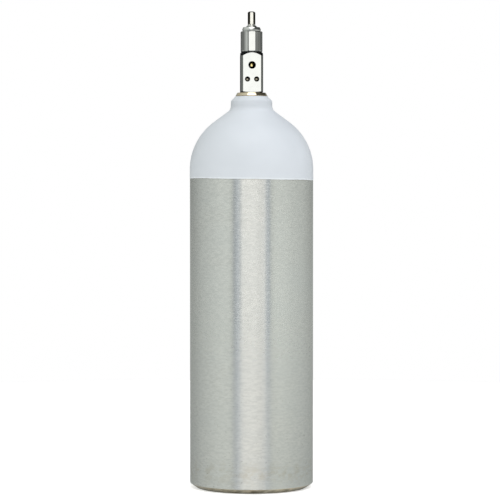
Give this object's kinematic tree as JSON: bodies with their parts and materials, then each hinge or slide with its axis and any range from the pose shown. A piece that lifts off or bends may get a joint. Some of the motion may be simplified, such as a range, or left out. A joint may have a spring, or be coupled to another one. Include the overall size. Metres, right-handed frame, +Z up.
{
  "type": "medical oxygen cylinder",
  "caption": "Seamless aluminium medical oxygen cylinder, white painted on the shoulder, with a chrome pin-index post valve that a key on its stem opens and closes.",
  "frame": {"origin": "centre of the cylinder's base, on the surface that it stands on", "axes": "+Z up along the cylinder, -Y the way the valve's outlet port faces, +X to the right of the port"},
  "size_m": [0.12, 0.12, 0.463],
  "materials": {
    "brushed_aluminium": "bare, brushed round the cylinder",
    "white_paint": "semi-gloss white paint",
    "chrome": "bright chrome plate over brass",
    "bare_brass": "bare turned brass",
    "stem_brass": "thin nickel plate over brass",
    "black_rubber": "matte",
    "nylon": "natural",
    "white_ptfe": "matte",
    "nickel": "rolled foil",
    "copper": "annealed"
  },
  "bodies": {
    "cylinder": {"cylinder_shell": "brushed_aluminium", "shoulder_coat": "white_paint", "neck_washer": "bare_brass", "inlet_o_ring": "black_rubber", "inlet_tube": "bare_brass", "valve_body": "chrome", "bonnet_gasket": "black_rubber", "bonnet_nut": "chrome", "gland_nut": "chrome", "packing_washer": "bare_brass", "stem_o_ring_lower": "black_rubber", "packing_ring": "white_ptfe", "stem_o_ring_upper": "black_rubber", "thrust_washer": "white_ptfe", "relief_plug": "bare_brass", "burst_disc": "nickel", "relief_gasket": "copper"},
    "stem": {"stem": "stem_brass"},
    "seat_plug": {"seat_plug": "bare_brass", "seat_insert": "nylon"}
  },
  "joints": [
    {"name": "stem_turn", "type": "hinge", "parent": "cylinder", "child": "stem", "pos_m": [0, 0, 0.427], "axis": [0, 0, 1], "range_deg": [0, 540]},
    {"name": "seat_lift", "type": "slide", "parent": "stem", "child": "seat_plug", "axis": [0, 0, 1], "range_m": [0, 0.0022]}
  ],
  "couplings": [
    {"joint": "seat_lift", "follows": "stem_turn", "m_per_rad": 0.00022459}
  ]
}
